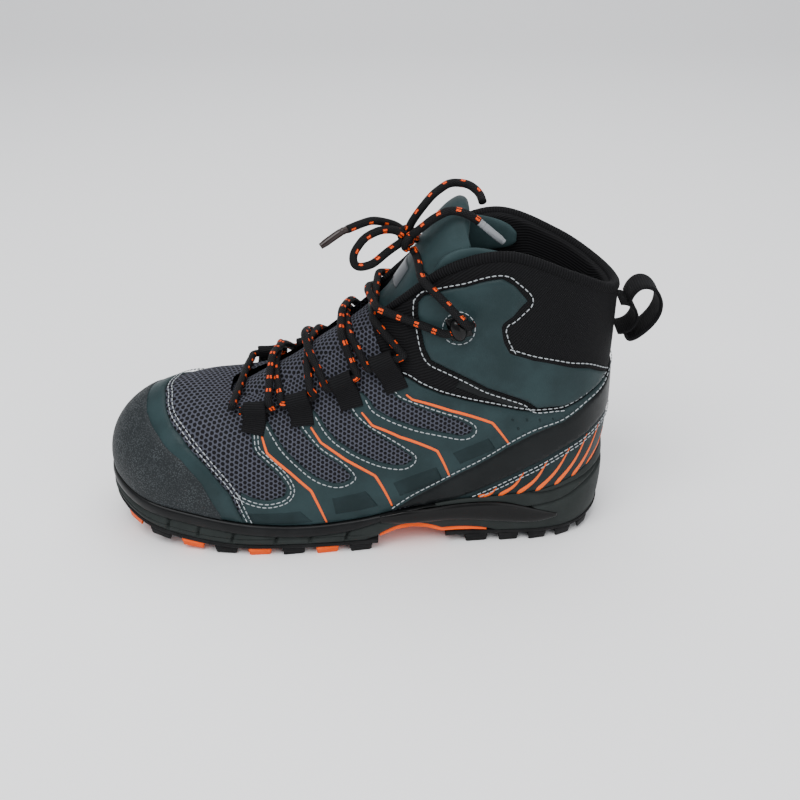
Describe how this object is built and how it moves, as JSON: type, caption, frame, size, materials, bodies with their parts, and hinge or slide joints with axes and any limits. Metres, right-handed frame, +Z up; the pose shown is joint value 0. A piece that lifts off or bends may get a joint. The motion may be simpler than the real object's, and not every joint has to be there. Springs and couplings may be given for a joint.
{
  "type": "hiking boot",
  "caption": "Mid-cut lace-up hiking boot for the left foot, with a capped toe, stitched overlays on mesh, a padded collar, a lugged sole and tied laces.",
  "frame": {"origin": "on the ground under the middle of the boot's box, measured without the free lace ends", "axes": "+X towards the heel, +Y towards the inner (medial) side, +Z up; the toe points to -X and the laced outer side faces -Y"},
  "size_m": [0.3212, 0.1102, 0.2082],
  "materials": {
    "sole_rubber": "black moulded tread rubber, matte",
    "insert_rubber": "orange moulded rubber of the tread inserts and arch shank",
    "midsole_foam": "dark grey moulded foam with fine grooves",
    "gloss_black": "glossy black moulded plastic",
    "fibre_board": "pressed fibre board, bottom filler and stiffeners",
    "shank_steel": "spring steel shank plate",
    "mesh": "open grey knitted mesh over a black backing",
    "teal_leather": "fine-grained dark teal synthetic leather with light grey stitching",
    "dark_leather": "smooth near-black synthetic leather",
    "cap_rubber": "charcoal toe cap, pebbled and slightly shiny",
    "collar_textile": "black ribbed textile",
    "lining": "brushed dark lining, membrane and foam",
    "webbing": "black woven webbing",
    "lace": "black braided cord with orange flecks",
    "label_silver": "blank silver woven label",
    "clear_tip": "clear plastic lace tips"
  },
  "bodies": {
    "boot": {"outsole_forefoot": "sole_rubber", "outsole_heel": "sole_rubber", "lug_inserts": "insert_rubber", "arch_shank": "insert_rubber", "midsole": "midsole_foam", "rand": "sole_rubber", "arch_bracket_lateral": "gloss_black", "arch_bracket_medial": "gloss_black", "shank_plate": "shank_steel", "bottom_filler": "fibre_board", "insole_board": "fibre_board", "footbed": "lining", "vamp_mesh": "mesh", "quarter_lateral": "mesh", "quarter_medial": "mesh", "toe_puff": "fibre_board", "heel_counter": "fibre_board", "bootie_membrane": "lining", "toe_cap": "cap_rubber", "toe_band": "teal_leather", "side_overlay_lateral": "teal_leather", "side_overlay_medial": "teal_leather", "heel_strap": "dark_leather", "heel_panel": "teal_leather", "ankle_overlay_lateral": "teal_leather", "ankle_overlay_medial": "teal_leather", "collar_fabric": "collar_textile", "collar_foam": "lining", "collar_lining": "lining", "collar_binding": "collar_textile", "side_tag": "collar_textile", "tongue_body": "mesh", "tongue_wing_lateral": "teal_leather", "tongue_wing_medial": "teal_leather", "tongue_label": "label_silver", "lace_loops_lateral": "webbing", "lace_loops_medial": "webbing", "lace_keeper_lateral": "gloss_black", "lace_keeper_medial": "gloss_black", "pull_loop_root": "webbing", "lace_run_outer": "lace", "lace_run_inner": "lace", "lace_knot": "lace", "lace_bow_front": "lace", "lace_bow_back": "lace", "lace_end_front": "lace", "lace_end_back": "lace", "lace_tip_front": "clear_tip", "lace_tip_back": "clear_tip"},
    "tongue_top": {"tongue_top": "teal_leather"},
    "pull_loop": {"pull_loop": "webbing"}
  },
  "joints": [
    {"name": "tongue_flex", "type": "hinge", "parent": "boot", "child": "tongue_top", "pos_m": [0.0327, 0.0012, 0.16], "axis": [0, 1, 0], "range_deg": [0, 15], "stiffness_Nm_per_rad": 0.3},
    {"name": "pull_loop_swing", "type": "hinge", "parent": "boot", "child": "pull_loop", "pos_m": [0.1381, 0.0012, 0.131], "axis": [0, 1, 0], "range_deg": [-20, 20], "stiffness_Nm_per_rad": 0.08}
  ]
}
